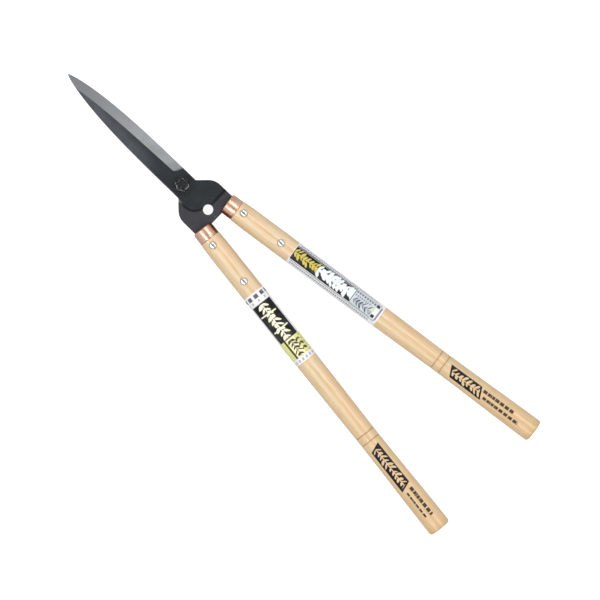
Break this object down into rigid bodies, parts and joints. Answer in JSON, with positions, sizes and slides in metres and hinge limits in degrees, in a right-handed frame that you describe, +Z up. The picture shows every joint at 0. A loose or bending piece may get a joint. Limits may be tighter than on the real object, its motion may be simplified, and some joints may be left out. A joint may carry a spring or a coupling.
{
  "type": "hedge shears",
  "caption": "Closed two-handed hedge shears: straight black forged blades with a ground bevel, crossed on one pivot bolt, on long turned wooden handles with coppered ferrules.",
  "frame": {"origin": "middle of the closed tool's length and width, at its lowest point, which is where the handles lie on a table", "axes": "+X along the centre line from the handle butts to the blade tips, +Y towards the left handle, +Z up, parallel to the pivot bolt and pointing out of the nut"},
  "size_m": [0.66, 0.178, 0.0297],
  "materials": {
    "forged_steel": "black forged scale, satin, with a ground bright bevel along the cutting edge",
    "coppered_steel": "copper coloured plating, polished",
    "oak": "pale straight-grained hardwood, clear lacquer, satin",
    "bright_steel": "plain steel, slightly dull",
    "blackened_steel": "blackened steel with worn bright corners",
    "printed_label": "printed film, semi-gloss"
  },
  "bodies": {
    "left_half": {"lower_blade": "forged_steel", "left_ferrule": "coppered_steel", "left_handle": "oak", "left_label": "printed_label", "left_front_rivet": "bright_steel", "left_front_rivet_washer": "bright_steel", "left_rear_rivet": "bright_steel", "left_rear_rivet_washer": "bright_steel", "pivot_bolt": "blackened_steel", "pivot_washer": "blackened_steel", "pivot_spring_washer": "blackened_steel", "pivot_nut": "blackened_steel"},
    "right_half": {"upper_blade": "forged_steel", "right_ferrule": "coppered_steel", "right_handle": "oak", "right_label": "printed_label", "right_front_rivet": "bright_steel", "right_front_rivet_washer": "bright_steel", "right_rear_rivet": "bright_steel", "right_rear_rivet_washer": "bright_steel"}
  },
  "joints": [
    {"name": "blade_pivot", "type": "hinge", "parent": "left_half", "child": "right_half", "pos_m": [0.14946, 0, 0.0135], "axis": [0, 0, 1], "range_deg": [0, 65]}
  ]
}
